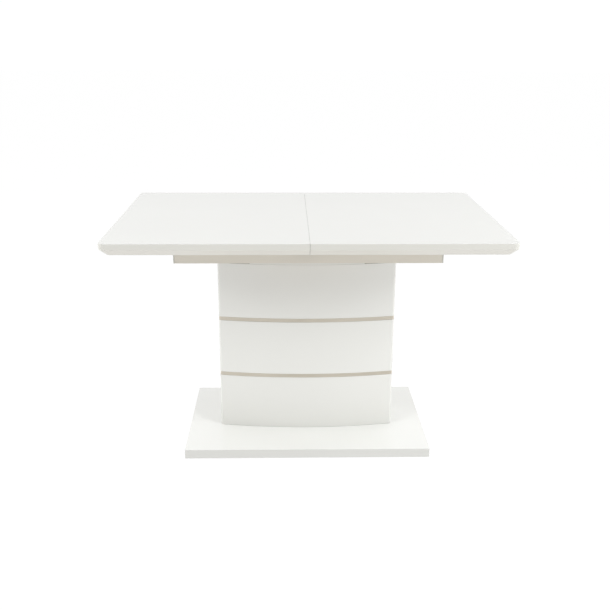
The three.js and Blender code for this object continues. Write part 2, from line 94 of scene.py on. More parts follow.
class Nodes:
    """Short-hand for building one material's node tree."""

    def __init__(self, name, **shader):
        self.material = bpy.data.materials.new(name)
        self.material.use_nodes = True
        self.tree = self.material.node_tree
        self.shader = self.tree.nodes["Principled BSDF"]
        for socket, value in shader.items():
            self.shader.inputs[socket.replace("_", " ")].default_value = value

    def add(self, kind, **settings):
        node = self.tree.nodes.new(kind)
        for name, value in settings.items():
            setattr(node, name, value)
        return node

    def link(self, source, target):
        self.tree.links.new(source, target)

    def place(self, scale=(1, 1, 1)):
        """Object coordinates, stretched. Every piece's origin is the table's origin."""
        coords = self.add("ShaderNodeTexCoord")
        mapping = self.add("ShaderNodeMapping")
        mapping.inputs["Scale"].default_value = scale
        self.link(coords.outputs["Object"], mapping.inputs["Vector"])
        return mapping.outputs["Vector"]

    def noise(self, place, scale, detail=2.0, roughness=0.5):
        noise = self.add("ShaderNodeTexNoise")
        noise.inputs["Scale"].default_value = scale
        noise.inputs["Detail"].default_value = detail
        noise.inputs["Roughness"].default_value = roughness
        self.link(place, noise.inputs["Vector"])
        return noise.outputs["Fac"]

    def span(self, value, low, high):
        """Maps the middle of a noise value's range to low..high, clamped."""
        remap = self.add("ShaderNodeMapRange")
        remap.inputs["From Min"].default_value = 0.3
        remap.inputs["From Max"].default_value = 0.7
        remap.inputs["To Min"].default_value = low
        remap.inputs["To Max"].default_value = high
        self.link(value, remap.inputs["Value"])
        return remap.outputs["Result"]

    def colours(self, value, stops):
        """Colour ramp over a value. stops is a list of (position, colour)."""
        ramp = self.add("ShaderNodeValToRGB")
        elements = ramp.color_ramp.elements
        while len(elements) < len(stops):
            elements.new(0.5)
        for element, (position, colour) in zip(elements, stops):
            element.position = position
            element.color = (*colour, 1)
        self.link(value, ramp.inputs["Fac"])
        return ramp.outputs["Color"]

    def paint_upright_shade(self, colour, tint):
        """Painted shade: multiplies a colour by a tint on upright faces and leaves level faces alone."""
        geometry = self.add("ShaderNodeNewGeometry")
        split = self.add("ShaderNodeSeparateXYZ")
        self.link(geometry.outputs["Normal"], split.inputs["Vector"])
        tilt = self.add("ShaderNodeMath", operation="ABSOLUTE")
        self.link(split.outputs["Z"], tilt.inputs[0])
        mix = self.add("ShaderNodeMix", data_type="RGBA", blend_type="MULTIPLY")
        factor, first, second = (mix.inputs[i] for i in MIX_COLOUR_SOCKETS)
        self.link(fade(self.tree, tilt.outputs[0], 0.5, 0.9, 1, 0), factor)
        self.link(colour, first)
        second.default_value = (*tint, 1)
        return mix.outputs[MIX_COLOUR_RESULT]

    def bump(self, height, strength, distance, under=None):
        """Surface relief from a height value, laid over an earlier relief if there is one."""
        bump = self.add("ShaderNodeBump")
        bump.inputs["Strength"].default_value = strength
        bump.inputs["Distance"].default_value = distance
        self.link(height, bump.inputs["Height"])
        if under is not None:
            self.link(under, bump.inputs["Normal"])
        self.link(bump.outputs["Normal"], self.shader.inputs["Normal"])
        return bump.outputs["Normal"]


def fade(tree, value, start, end, low, high):
    """Smooth step of a value, from low at start to high at end."""
    node = tree.nodes.new("ShaderNodeMapRange")
    node.interpolation_type = "SMOOTHSTEP"
    node.inputs["From Min"].default_value = start
    node.inputs["From Max"].default_value = end
    node.inputs["To Min"].default_value = low
    node.inputs["To Max"].default_value = high
    tree.links.new(value, node.inputs["Value"])
    return node.outputs["Result"]


def lacquer(name, light, dark, gloss, peel, edge=None):
    """Sprayed lacquer: faint cloudiness, uneven polish and a fine orange-peel surface.

    edge is a tint for a board's upright faces: painted shade, for the less light they get than its level
    faces.
    """
    m = Nodes(name, Coat_Weight=0.35 * gloss, Coat_Roughness=0.05)
    place = m.place()
    cloud = m.noise(place, 2.4, 3.0)
    colour = m.colours(cloud, [(0.3, dark), (0.7, light)])
    if edge:
        # Painted shade on upright faces.
        colour = m.paint_upright_shade(colour, edge)
    m.link(colour, m.shader.inputs["Base Color"])
    polish = m.noise(place, 38.0, 4.0, 0.6)
    rough = 0.46 - 0.36 * gloss
    m.link(m.span(polish, rough * 0.85, rough * 1.25), m.shader.inputs["Roughness"])
    coarse = m.bump(m.noise(place, 46.0, 1.0), peel * 0.5, 0.4 * MM)
    m.bump(m.noise(place, 240.0, 2.0), peel, 0.12 * MM, coarse)
    return m.material


def brushed_metal(name, light, dark, rough, along, spread=0.4, metallic=1.0):
    """Fine parallel scratches. along stretches their pattern, and spread is how far they smear a highlight.

    A metallic value below 1 is a metal-pigmented finish instead of bare metal.
    """
    m = Nodes(name, Metallic=metallic, Anisotropic=spread, Anisotropic_Rotation=0.25)
    tangent = m.add("ShaderNodeTangent", direction_type="RADIAL", axis="Z")
    m.link(tangent.outputs["Tangent"], m.shader.inputs["Tangent"])
    place = m.place(along)
    streaks = m.noise(place, 14.0, 5.0, 0.7)
    tone = m.noise(m.place(), 6.0, 2.0)
    mix = m.add("ShaderNodeMath", operation="MULTIPLY_ADD")
    mix.inputs[1].default_value = 0.55
    m.link(streaks, mix.inputs[0])
    m.link(m.span(tone, 0.12, 0.33), mix.inputs[2])
    m.link(m.colours(mix.outputs[0], [(0.3, dark), (0.72, light)]), m.shader.inputs["Base Color"])
    m.link(m.span(streaks, rough * 0.8, rough * 1.3), m.shader.inputs["Roughness"])
    m.bump(streaks, 0.12, 0.1 * MM)
    return m.material


def fibreboard(name):
    """Raw board: fine pressed fibres in browns."""
    m = Nodes(name, Roughness=0.85)
    speck = m.noise(m.place(), 520.0, 3.0, 0.7)
    browns = [(0.32, (0.36, 0.25, 0.15)), (0.55, (0.50, 0.38, 0.24)), (0.7, (0.60, 0.47, 0.31))]
    m.link(m.colours(speck, browns), m.shader.inputs["Base Color"])
    m.bump(speck, 0.35, 0.2 * MM)
    return m.material


def beech(name):
    """Plain beech with its grain along X."""
    m = Nodes(name, Coat_Weight=0.15, Coat_Roughness=0.3)
    place = m.place((1.6, 26.0, 26.0))
    grain = m.noise(place, 5.0, 6.0, 0.6)
    flecks = m.noise(place, 24.0, 2.0, 0.5)
    browns = [(0.3, (0.50, 0.31, 0.17)), (0.5, (0.62, 0.42, 0.25)), (0.72, (0.70, 0.51, 0.32))]
    m.link(m.colours(grain, browns), m.shader.inputs["Base Color"])
    m.link(m.span(flecks, 0.42, 0.62), m.shader.inputs["Roughness"])
    m.bump(flecks, 0.15, 0.15 * MM)
    return m.material


def moulded(name, light, dark, rough):
    """Moulded plastic or tape: slightly uneven colour and a fine grain."""
    m = Nodes(name)
    place = m.place()
    grain = m.noise(place, 900.0, 2.0, 0.6)
    m.link(m.colours(m.noise(place, 30.0, 3.0), [(0.3, dark), (0.7, light)]), m.shader.inputs["Base Color"])
    m.link(m.span(grain, rough * 0.85, rough * 1.15), m.shader.inputs["Roughness"])
    m.bump(grain, 0.25, 0.08 * MM)
    return m.material


# Painted shade: the base's upright faces are darkened by this tint.
BASE_UPRIGHT_SHADE = (0.85, 0.845, 0.83)

LACQUER = lacquer("white_gloss_lacquer", (0.794, 0.786, 0.750), (0.779, 0.770, 0.733), 1.0, 0.05)
# A lighter copy of the white gloss for the base: painted light, with painted shade on its upright faces.
BASE_PAINTED_LIGHT_AND_SHADE = lacquer(
    "white_gloss_base_painted_light_and_shade", (0.835, 0.830, 0.806), (0.820, 0.814, 0.788), 1.0, 0.05, edge=BASE_UPRIGHT_SHADE
)
# Darker, warmer copies of the white gloss for the top's rim and chamfer: painted shade.
RIM_PAINTED_SHADE = lacquer("white_gloss_rim_painted_shade", (0.668, 0.652, 0.604), (0.650, 0.634, 0.586), 0.8, 0.09)
CHAMFER_PAINTED_SHADE = lacquer("white_gloss_chamfer_painted_shade", (0.735, 0.712, 0.655), (0.717, 0.694, 0.636), 0.8, 0.09)
BACKING = lacquer("white_backing", (0.730, 0.722, 0.696), (0.700, 0.690, 0.660), 0.1, 0.16)
# The frame rails are white; this satin's darker, warmer colour is painted warm shade from under the top.
SATIN_PAINTED_SHADE = lacquer("white_satin_painted_shade", (0.738, 0.692, 0.608), (0.713, 0.667, 0.584), 0.25, 0.12)
CHAMPAGNE = brushed_metal(
    "champagne_metal", (0.73, 0.675, 0.585), (0.585, 0.535, 0.45), 0.5, (1.5, 1.5, 90.0),
    spread=0.8, metallic=0.6,
)
STEEL = brushed_metal("zinc_steel", (0.68, 0.69, 0.70), (0.44, 0.45, 0.47), 0.36, (1.2, 30.0, 30.0))
BOARD = fibreboard("raw_fibreboard")
BEECH = beech("beech")
PLASTIC = moulded("black_plastic", (0.045, 0.045, 0.048), (0.028, 0.028, 0.030), 0.5)
EDGING = moulded("grey_end_caps", (0.62, 0.612, 0.560), (0.58, 0.572, 0.520), 0.45)
TAPE = moulded("grey_glide_tape", (0.30, 0.30, 0.31), (0.22, 0.22, 0.23), 0.7)

SLOT_MATERIALS = {
    "white_gloss": LACQUER,
    "white_satin": SATIN_PAINTED_SHADE,
    "champagne_metal": CHAMPAGNE,
    "raw_board": BOARD,
    "beech": BEECH,
    "zinc_steel": STEEL,
    "glide_plastic": PLASTIC,
}


# ---------- mesh helpers ----------

SHARP_FROM = math.radians(35)


def shade(mesh):
    """Smooth shading, except over sharp edges."""
    mesh.shade_smooth()
    mesh.set_sharp_from_angle(angle=SHARP_FROM)


def make_object(name, mesh, material, body, replaced=()):
    """A piece that rides on a body, in place of the CAD nodes that it replaces."""
    piece = bpy.data.objects.new(name, mesh)
    bpy.context.scene.collection.objects.link(piece)
    piece.data.materials.clear()
    piece.data.materials.append(material)
    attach(piece, body)
    if replaced:
        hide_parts(*replaced)
    return piece


def keep_flats_flat(piece):
    """Weighs normals by face area, so that an eased edge doesn't tint the flat beside it."""
    modifier = piece.modifiers.new("flats", "WEIGHTED_NORMAL")
    modifier.mode = "FACE_AREA"
    modifier.keep_sharp = True
    modifier.weight = 100


def mesh_from(name, vertices, faces):
    """A welded mesh with its normals facing outwards."""
    mesh = bpy.data.meshes.new(name)
    mesh.from_pydata([tuple(v) for v in vertices], [], faces)
    mesh.validate()
    build = bmesh.new()
    build.from_mesh(mesh)
    bmesh.ops.remove_doubles(build, verts=build.verts, dist=1e-6)
    bmesh.ops.recalc_face_normals(build, faces=build.faces)
    build.to_mesh(mesh)
    build.free()
    shade(mesh)
    return mesh


def ring_shape(outline, section):
    """Vertices and faces of a closed ring: a closed section of (inset, z), run round outline(inset)."""
    loops = [[(x, y, z) for x, y in outline(inset)] for inset, z in section]
    count = len(loops[0])
    vertices = [v for loop in loops for v in loop]
    faces = []
    for i in range(len(loops)):
        j = (i + 1) % len(loops)
        for k in range(count):
            m = (k + 1) % count
            faces.append((i * count + k, i * count + m, j * count + m, j * count + k))
    return vertices, faces


def fill_with_recesses(vertices, faces, border, recesses):
    """Fills a flat border of vertex numbers, sinking a blind recess for each (mouth, floor) outline."""
    loops = [[Vector(vertices[i]) for i in border]]
    indices = list(border)
    for mouth, floor in recesses:
        first = len(vertices)
        size = len(mouth)
        vertices += [*mouth, *floor]
        for k in range(size):
            m = (k + 1) % size
            faces.append((first + k, first + m, first + size + m, first + size + k))
        faces.append(tuple(first + size + k for k in range(size)))
        loops.append([Vector(point) for point in reversed(mouth)])
        indices += [first + k for k in reversed(range(size))]
    for triangle in tessellate_polygon(loops):
        faces.append(tuple(indices[i] for i in triangle))


def prism(name, outline, z0, z1, ease):
    """Upright prism over a flat outline, with every sharp edge rounded."""
    build = bmesh.new()
    low = [build.verts.new((x, y, z0)) for x, y in outline]
    high = [build.verts.new((x, y, z1)) for x, y in outline]
    build.faces.new(low[::-1])
    build.faces.new(high)
    for k in range(len(low)):
        m = (k + 1) % len(low)
        build.faces.new((low[k], low[m], high[m], high[k]))
    bmesh.ops.recalc_face_normals(build, faces=build.faces)
    sharp = [edge for edge in build.edges if edge.calc_face_angle() > math.radians(30)]
    bmesh.ops.bevel(build, geom=sharp, offset=ease, segments=3, profile=0.5, affect="EDGES")
    mesh = bpy.data.meshes.new(name)
    build.to_mesh(mesh)
    build.free()
    shade(mesh)
    return mesh


def eased_box(name, low, high, ease):
    """A box between two corners, with rounded edges."""
    corners = [(low.x, low.y), (high.x, low.y), (high.x, high.y), (low.x, high.y)]
    return prism(name, corners, low.z, high.z, ease)


def arc(centre, radius, start, end, steps):
    """Points on an arc, both ends included, angles in degrees."""
    angles = [math.radians(start + (end - start) * i / steps) for i in range(steps + 1)]
    return [(centre[0] + radius * math.cos(a), centre[1] + radius * math.sin(a)) for a in angles]


def circle_points(centre, radius, sides=24):
    """Points round a full circle, the first one not repeated."""
    return arc(centre, radius, 0, 360, sides)[:-1]


# ---------- pedestal ----------

PANEL = 15 * MM
BOW_RADIUS = 1500 * MM
CORNER_RADIUS = 10 * MM
PANEL_EASING = 0.7 * MM
STRIP_EASING = 0.4 * MM
STRIP_THICKNESS = 2 * MM

left_panel_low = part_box("pedestal_upper_left_panel")[0]
front_panel_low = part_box("pedestal_upper_front_panel")[0]
column_half = -left_panel_low.x
bow_centre = front_panel_low.y + BOW_RADIUS


def column_outline(inset):
    """The bowed column from above: two arcs and two flat ends, with rounded corners."""
    half = column_half - inset
    radius = BOW_RADIUS - inset
    smallest = 1 * MM
    corner = max(CORNER_RADIUS - inset, smallest)
    # The corner's centre lies inside both the flat end and the arc by its radius.
    cx = half - corner
    cy = bow_centre - math.sqrt((radius - corner) ** 2 - cx**2)
    turn = math.degrees(math.asin(cx / (radius - corner)))
    front = arc((0, bow_centre), radius, 270 - turn, 270 + turn, 48)
    front_corner = arc((cx, cy), corner, 270 + turn, 360, 8)[1:]
    rear_corner = arc((cx, -cy), corner, 0, 90 - turn, 8)[:-1]
    half_turn = front + front_corner + rear_corner
    return half_turn + [(-x, -y) for x, y in half_turn]


def make_bands():
    """Each band's four lacquered panels, as the one closed shell that they look like."""
    for band in ("lower", "middle", "upper"):
        panels = [f"pedestal_{band}_{side}_panel" for side in ("front", "rear", "left", "right")]
        low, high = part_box(panels[0])
        z0, z1 = low.z, high.z
        e = PANEL_EASING
        section = [
            (e, z0), (e * 0.45, z0 + e * 0.12), (e * 0.12, z0 + e * 0.45), (0, z0 + e),
            (0, z1 - e), (e * 0.12, z1 - e * 0.45), (e * 0.45, z1 - e * 0.12), (e, z1),
            (PANEL, z1), (PANEL, z0),
        ]
        mesh = mesh_from(f"pedestal_{band}_shell", *ring_shape(column_outline, section))
        shell = make_object(f"pedestal_{band}_shell", mesh, LACQUER, "stand", panels)
        keep_flats_flat(shell)


def make_strips():
    """The bent metal strips between the bands."""
    for level in ("lower", "upper"):
        node = f"pedestal_{level}_strip"
        low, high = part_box(node)
        z0, z1 = low.z, high.z
        recess = column_half + low.x
        e = STRIP_EASING
        section = [
            (recess + e, z0), (recess, z0 + e), (recess, z1 - e), (recess + e, z1),
            (recess + STRIP_THICKNESS, z1), (recess + STRIP_THICKNESS, z0),
        ]
        mesh = mesh_from(f"pedestal_{level}_metal", *ring_shape(column_outline, section))
        metal = make_object(f"pedestal_{level}_metal", mesh, CHAMPAGNE, "stand", [node])
        keep_flats_flat(metal)


make_bands()
make_strips()


# ---------- top halves ----------

TOP_CORNER = 20 * MM
SMALLEST_CORNER = 4 * MM
RIM_HEIGHT = 18.5 * MM
UNDERCUT = 24 * MM
TOP_EASING = 1.2 * MM
SEAM_EASING = 0.04 * MM
SEAM_RELIEF = 0.25 * MM     # the seam's outer ends open up by this much on each half
RELIEF_DEPTH = 3 * MM
DOWEL_HOLE_RADIUS = 5.3 * MM
DOWEL_HOLE_SPARE = 2 * MM   # the holes are this much deeper than the dowels reach

right_low, right_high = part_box("top_half_right")
dowels = [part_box(f"seam_dowel_{i}") for i in (1, 2, 3)]


def half_outline(inset, seam_inset):
    """The right half from above, from the seam's front end round to its rear end."""
    seam = right_low.x + seam_inset
    end = right_high.x - inset
    side = right_high.y - inset
    radius = max(TOP_CORNER - inset / 2, SMALLEST_CORNER)
    front = arc((end - radius, radius - side), radius, 270, 360, 14)
    rear = arc((end - radius, side - radius), radius, 0, 90, 14)
    inner = side - RELIEF_DEPTH
    relief = seam + SEAM_RELIEF
    return [(seam, -inner), (relief, -side), *front, *rear, (relief, side), (seam, inner)]


def half_profile():
    """(inset, seam inset, z) from the underside up: soft lower edge, undercut, rim, eased top edge."""
    under = right_low.z
    top = right_high.z
    rim_bottom = top - RIM_HEIGHT
    rows = [
        (UNDERCUT, SEAM_EASING, under),
        (UNDERCUT - 0.6 * MM, SEAM_EASING / 3, under + 0.12 * MM),
        (UNDERCUT - 2.0 * MM, 0, under + 0.55 * MM),
        (UNDERCUT - 3.5 * MM, 0, under + 1.5 * MM),
        (0.8 * MM, 0, rim_bottom - 0.75 * MM),
        (0.15 * MM, 0, rim_bottom - 0.1 * MM),
        (0, 0, rim_bottom + 0.5 * MM),
    ]
    steps = 5
    for step in range(steps + 1):
        turn = math.radians(90 * step / steps)
        inset = TOP_EASING * (1 - math.cos(turn))
        rows.append((inset, inset * SEAM_EASING / TOP_EASING, top - TOP_EASING * (1 - math.sin(turn))))
    return rows


def tabletop_mesh(name, side):
    """One half, with the dowel holes in its seam face. side is 1 for the right half, -1 for the left."""
    rows = [[(x, y, z) for x, y in half_outline(inset, seam)] for inset, seam, z in half_profile()]
    count = len(rows[0])
    vertices = [v for row in rows for v in row]
    faces = []
    for i in range(len(rows) - 1):
        for k in range(count - 1):
            a = i * count + k
            faces.append((a, a + 1, a + 1 + count, a + count))
    faces.append(tuple(range(count)))
    faces.append(tuple((len(rows) - 1) * count + k for k in range(count)))
    add_seam_face(vertices, faces, len(rows), count)
    if side < 0:
        vertices = [(-x, y, z) for x, y, z in vertices]
    return mesh_from(name, vertices, faces)


def add_seam_face(vertices, faces, row_count, count):
    """Closes the seam side with a face that has a round blind hole for each dowel."""
    rear = [i * count + count - 1 for i in range(row_count)]
    front = [i * count for i in range(row_count)]
    seam = right_low.x
    depth = dowels[0][1].x + DOWEL_HOLE_SPARE
    holes = []
    for low, high in dowels:
        centre = ((low.y + high.y) / 2, (low.z + high.z) / 2)
        circle = circle_points(centre, DOWEL_HOLE_RADIUS)
        holes.append(([(seam, y, z) for y, z in circle], [(depth, y, z) for y, z in circle]))
    fill_with_recesses(vertices, faces, front + rear[::-1], holes)


# Z of a face's normal: up to this for an upright face, and from this on for a level one.
UPRIGHT = 0.3
LEVEL = 0.8


def finish_faces(piece):
    """The rim and the chamfer get darker, warmer copies of the top's lacquer with a little less gloss:
    painted shade in their colour. The underside gets only a thin backing.
    """
    rim, chamfer, backing = 1, 2, 3
    for material in (RIM_PAINTED_SHADE, CHAMFER_PAINTED_SHADE, BACKING):
        piece.data.materials.append(material)
    for polygon in piece.data.polygons:
        slope = polygon.normal.z
        if abs(slope) < UPRIGHT:
            polygon.material_index = rim
        elif -LEVEL < slope < 0:
            polygon.material_index = chamfer
        elif slope < 0:
            polygon.material_index = backing


def make_tops():
    """Both top halves, the left one mirrored from the right one's shape."""
    for name, side in (("left", -1), ("right", 1)):
        node = f"top_half_{name}"
        mesh = tabletop_mesh(f"tabletop_{name}", side)
        top = make_object(f"tabletop_{name}", mesh, LACQUER, f"{name}_top", [node])
        finish_faces(top)
        keep_flats_flat(top)


make_tops()


# ---------- frame rails ----------

CAP_WIDTH = 4 * MM
CAP_EASING = 0.9 * MM
RAIL_EASING = 0.5 * MM


def make_rails():
    """Long rails: a lacquered board with a moulded cap pressed on each raw end."""
    for side in ("front", "rear"):
        node = f"frame_{side}_rail"
        low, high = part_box(node)
        inside_low = low + Vector((CAP_WIDTH, 0, 0))
        inside_high = high - Vector((CAP_WIDTH, 0, 0))
        mesh = eased_box(f"{side}_rail_board", inside_low, inside_high, RAIL_EASING)
        keep_flats_flat(make_object(f"{side}_rail_board", mesh, SATIN_PAINTED_SHADE, "stand", [node]))
        for end, x0, x1 in (("left", low.x, inside_low.x), ("right", inside_high.x, high.x)):
            name = f"{side}_rail_{end}_cap"
            mesh = eased_box(name, Vector((x0, low.y, low.z)), Vector((x1, high.y, high.z)), CAP_EASING)
            keep_flats_flat(make_object(name, mesh, EDGING, "stand"))


make_rails()


# ---------- fasteners and small hardware ----------

def cross_recess(reach, half_width):
    """Outline of a cross: one arm's three corners, turned four times."""
    arm = [(reach, -half_width), (reach, half_width), (half_width, half_width)]
    turns = ((1, 0), (0, 1), (-1, 0), (0, -1))
    return [(x * c - y * s, x * s + y * c) for c, s in turns for x, y in arm]


def turned(profile):
    """Vertices, faces and open top rim of a shape turned from (radius, z) rows."""
    sides = 24
    vertices = [(x, y, z) for radius, z in profile for x, y in circle_points((0, 0), radius, sides)]
    faces = [tuple(range(sides))]
    for i in range(len(profile) - 1):
        for k in range(sides):
            m = (k + 1) % sides
            faces.append((i * sides + k, i * sides + m, (i + 1) * sides + m, (i + 1) * sides + k))
    rim = [(len(profile) - 1) * sides + k for k in range(sides)]
    return vertices, faces, rim


def turned_head(profile, recess, depth):
    """A turned shape with a recess in its top."""
    vertices, faces, rim = turned(profile)
    top = profile[-1][1]
    sunk = ([(x, y, top) for x, y in recess], [(x, y, top - depth) for x, y in recess])
    fill_with_recesses(vertices, faces, rim, [sunk])
    return vertices, faces


def pan_head(radius):
    """Domed screw head, standing on the surface."""
    height = 0.55 * radius
    profile = [
        (radius * 0.97, 0), (radius, height * 0.25), (radius * 0.93, height * 0.62),
        (radius * 0.78, height * 0.9), (radius * 0.62, height),
    ]
    return turned_head(profile, cross_recess(radius * 0.5, radius * 0.13), height * 0.75)


FLUSH_HEIGHT = 0.35 * MM


def flush_head(radius):
    """Countersunk screw head, a hair above the surface."""
    height = FLUSH_HEIGHT
    profile = [(radius, 0), (radius, height * 0.6), (radius * 0.94, height)]
    return turned_head(profile, cross_recess(radius * 0.55, radius * 0.13), height * 0.9)


def socket_bolt(length):
    """M8 hexagon-socket bolt: the head's top is at z = 0 and the shank runs down from it."""
    shank, head, height = 4 * MM, 6.5 * MM, 6 * MM
    tip, easing = 0.7 * MM, 0.6 * MM
    socket, socket_depth = 2.9 * MM, 3.5 * MM
    profile = [
        (shank - tip, -length), (shank, tip - length), (shank, -height), (head, -height),
        (head, -easing), (head - easing / 3, -easing / 3), (head - easing, 0),
    ]
    return turned_head(profile, circle_points((0, 0), socket, 6), socket_depth)


def hardware_mesh(name, shape, seats):
    """Copies of one shape, each with its base at a place and its top facing a direction."""
    vertices, faces = [], []
    for place, facing in seats:
        turn = Vector((0, 0, 1)).rotation_difference(Vector(facing)).to_matrix()
        first = len(vertices)
        vertices += [turn @ Vector(point) + Vector(place) for point in shape[0]]
        faces += [tuple(first + i for i in face) for face in shape[1]]
    return mesh_from(name, vertices, faces)


def add_hardware(name, shape, seats, body, replaced=()):
    """One steel piece made of copies of a shape."""
    mesh = hardware_mesh(name, shape, seats)
    keep_flats_flat(make_object(name, mesh, STEEL, body, replaced))


def make_bolts():
    """Two sets of bolts: up through the base, and down through the frame's tray."""
    for number in (1, 2, 3, 4):
        for group, facing in (("base", -1), ("frame", 1)):
            node = f"{group}_bolt_{number}"
            low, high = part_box(node)
            head_z = high.z if facing > 0 else low.z
            seat = (((low.x + high.x) / 2, (low.y + high.y) / 2, head_z), (0, 0, facing))
            shape = socket_bolt(high.z - low.z)
            add_hardware(f"{group}_socket_bolt_{number}", shape, [seat], "stand", [node])


BOARD_SCREW_RADIUS = 4 * MM
RUNNER_SCREW_GAP = 120 * MM
FLANGE_THICKNESS = 3 * MM
FLANGE_SCREW_INSET = 12 * MM
CHANNEL_WALL = 1.5 * MM
CHANNEL_SCREW_PLACES = [x * MM for x in (-380, -130, 0, 130, 380)]


def make_runner_screws():
    """Three screws up through each runner's flange into the top half above it."""
    for half in ("left", "right"):
        seats = []
        for side in ("front", "rear"):
            low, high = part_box(f"runner_{half}_{side}")
            inward = 1 if side == "front" else -1
            edge = high.y if side == "front" else low.y
            y = edge - inward * FLANGE_SCREW_INSET
            z = high.z - FLANGE_THICKNESS
            middle = (low.x + high.x) / 2
            for step in (-1, 0, 1):
                seats.append(((middle + step * RUNNER_SCREW_GAP, y, z), (0, 0, -1)))
        add_hardware(f"{half}_runner_screws", pan_head(BOARD_SCREW_RADIUS), seats, f"{half}_top")


def make_channel_screws():
    """Flush screws through each channel's back into the long rail."""
    for side, inward in (("front", 1), ("rear", -1)):
        low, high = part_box(f"slide_channel_{side}")
        back = low.y if side == "front" else high.y
        y = back + inward * CHANNEL_WALL
        z = (low.z + high.z) / 2
        seats = [((x, y, z), (0, inward, 0)) for x in CHANNEL_SCREW_PLACES]
        add_hardware(f"{side}_channel_screws", flush_head(BOARD_SCREW_RADIUS), seats, "stand")


PLATE_SCREW_RADIUS = 3 * MM
PLATE_SCREW_INSET = 4.5 * MM
PLATE_THICKNESS = 2 * MM


def make_lock_screws():
    """Flush screws at the corners of the plates that carry each seam lock."""
    for half, plate in (("left", "pivot"), ("right", "keeper")):
        seats = []
        for side in ("front", "rear"):
            low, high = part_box(f"{side}_lock_{plate}")
            z = high.z - PLATE_THICKNESS
            for x in (low.x + PLATE_SCREW_INSET, high.x - PLATE_SCREW_INSET):
                for y in (low.y + PLATE_SCREW_INSET, high.y - PLATE_SCREW_INSET):
                    seats.append(((x, y, z), (0, 0, -1)))
        add_hardware(f"{half}_lock_screws", flush_head(PLATE_SCREW_RADIUS), seats, f"{half}_top")


SLEEVE_START = 13 * MM
HANDLE_LENGTH = 30 * MM
SLEEVE_HALF_WIDTH = 6.7 * MM
SLEEVE_BELOW = 0.6 * MM
SLEEVE_ABOVE = 0.4 * MM
SLEEVE_EASING = 1.2 * MM
LOCK_RELEASED = math.radians(50)


def make_lever_sleeves():
    """Moulded sleeve over each lock lever's handle, turned to the released position with it."""
    for side, mirror in (("front", 1), ("rear", -1)):
        plate_low, plate_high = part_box(f"{side}_lock_pivot")
        low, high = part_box(f"{side}_lock_lever")
        pivot = (plate_low + plate_high) / 2
        end = arc((-HANDLE_LENGTH, 0), SLEEVE_HALF_WIDTH, 90, 270, 12)
        closed = [(-SLEEVE_START, SLEEVE_HALF_WIDTH), *end, (-SLEEVE_START, -SLEEVE_HALF_WIDTH)]
        cosine = math.cos(-LOCK_RELEASED)
        sine = math.sin(-LOCK_RELEASED)
        released = [
            (pivot.x + x * cosine - y * sine, pivot.y + mirror * (x * sine + y * cosine)) for x, y in closed
        ]
        name = f"{side}_lever_sleeve"
        mesh = prism(name, released, low.z - SLEEVE_BELOW, high.z + SLEEVE_ABOVE, SLEEVE_EASING)
        keep_flats_flat(make_object(name, mesh, PLASTIC, f"{side}_lock"))


BLOCK_LEG = 30 * MM
BLOCK_NOSE = 5 * MM
BLOCK_HEIGHT = 14 * MM
BLOCK_RAISE = 0.5 * MM
BLOCK_EASING = 0.6 * MM
GLUE_LINE = 0.2 * MM


def make_corner_blocks():
    """Glued beech blocks in the frame's four inner corners, each with a screw through its long face."""
    seats = []
    rail_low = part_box("frame_rear_rail")[0]
    end_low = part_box("frame_right_end_rail")[0]
    corner_x = end_low.x - GLUE_LINE
    corner_y = rail_low.y - GLUE_LINE
    z0 = end_low.z + BLOCK_RAISE
    legs = [(0, 0), (BLOCK_LEG, 0), (BLOCK_LEG, BLOCK_NOSE), (BLOCK_NOSE, BLOCK_LEG), (0, BLOCK_LEG)]
    half = (BLOCK_LEG + BLOCK_NOSE) / 2
    for number, sx, sy in ((1, -1, -1), (2, 1, -1), (3, -1, 1), (4, 1, 1)):
        name = f"corner_block_{number}"
        outline = [(sx * (corner_x - x), sy * (corner_y - y)) for x, y in legs]
        mesh = prism(name, outline, z0, z0 + BLOCK_HEIGHT, BLOCK_EASING)
        keep_flats_flat(make_object(name, mesh, BEECH, "stand"))
        face = (sx * (corner_x - half), sy * (corner_y - half), z0 + BLOCK_HEIGHT / 2)
        seats.append((face, (-sx, -sy, 0)))
    add_hardware("corner_block_screws", pan_head(BOARD_SCREW_RADIUS), seats, "stand")


CAM_RADIUS = 7.5 * MM
CAM_INSET = 26 * MM


def make_tray_cams():
    """Cam locks that hold the tray to the long rails, flush in its underside."""
    low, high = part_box("frame_tray")
    seats = []
    for x in (low.x + 2 * CAM_INSET, high.x - 2 * CAM_INSET):
        for y in (low.y + CAM_INSET, high.y - CAM_INSET):
            seats.append(((x, y, low.z), (0, 0, -1)))
    add_hardware("tray_cam_locks", flush_head(CAM_RADIUS), seats, "stand")


TAPE_THICKNESS = 0.5 * MM
TAPE_SINK = 0.1 * MM
TAPE_MARGIN = 3 * MM
TAPE_EASING = 0.1 * MM


def make_glide_tapes():
    """Slick tape along the top of each long rail, which the two halves slide over."""
    for side in ("front", "rear"):
        low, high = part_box(f"frame_{side}_rail")
        start = Vector((low.x + 2 * TAPE_MARGIN, low.y + TAPE_MARGIN, high.z - TAPE_SINK))
        end = Vector((high.x - 2 * TAPE_MARGIN, high.y - TAPE_MARGIN, high.z + TAPE_THICKNESS))
        mesh = eased_box(f"{side}_glide_tape", start, end, TAPE_EASING)
        keep_flats_flat(make_object(f"{side}_glide_tape", mesh, TAPE, "stand"))


